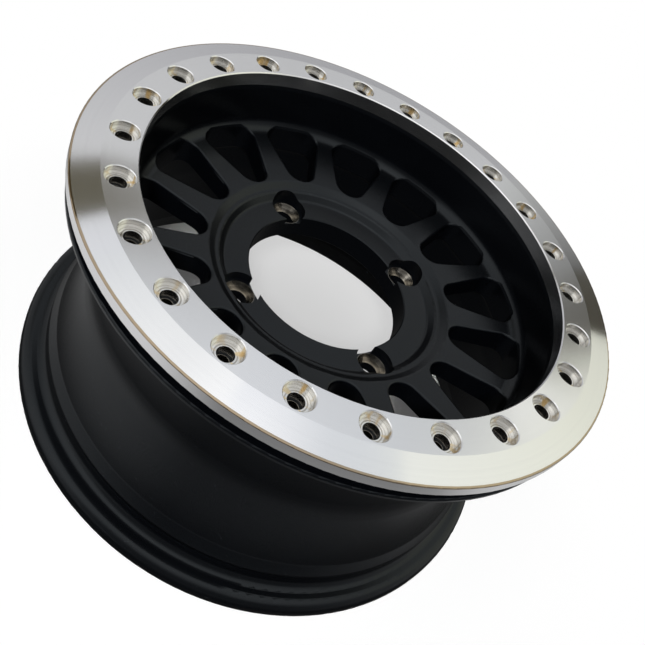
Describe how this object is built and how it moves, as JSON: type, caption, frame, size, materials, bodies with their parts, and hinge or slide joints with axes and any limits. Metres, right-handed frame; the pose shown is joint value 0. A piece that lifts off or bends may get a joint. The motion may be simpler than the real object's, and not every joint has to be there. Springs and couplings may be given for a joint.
{
  "type": "beadlock wheel",
  "caption": "Off-road wheel with an open spoked disc, a black barrel and a bright bolt-on ring that clamps the tyre's outer bead.",
  "frame": {"origin": "centre of the hub's mounting face, where the wheel meets the vehicle's hub", "axes": "+Z along the wheel's axis, outboard, towards the ring; +X between two ring bolts' lines, close to one"},
  "size_m": [0.4162, 0.4162, 0.204],
  "materials": {
    "black_coat": "cast aluminium with a satin black coat, bare at the lug seats",
    "machined_ring": "bright turned aluminium"
  },
  "bodies": {
    "root": {"wheel_body": "black_coat", "beadlock_ring": "machined_ring"}
  },
  "joints": []
}
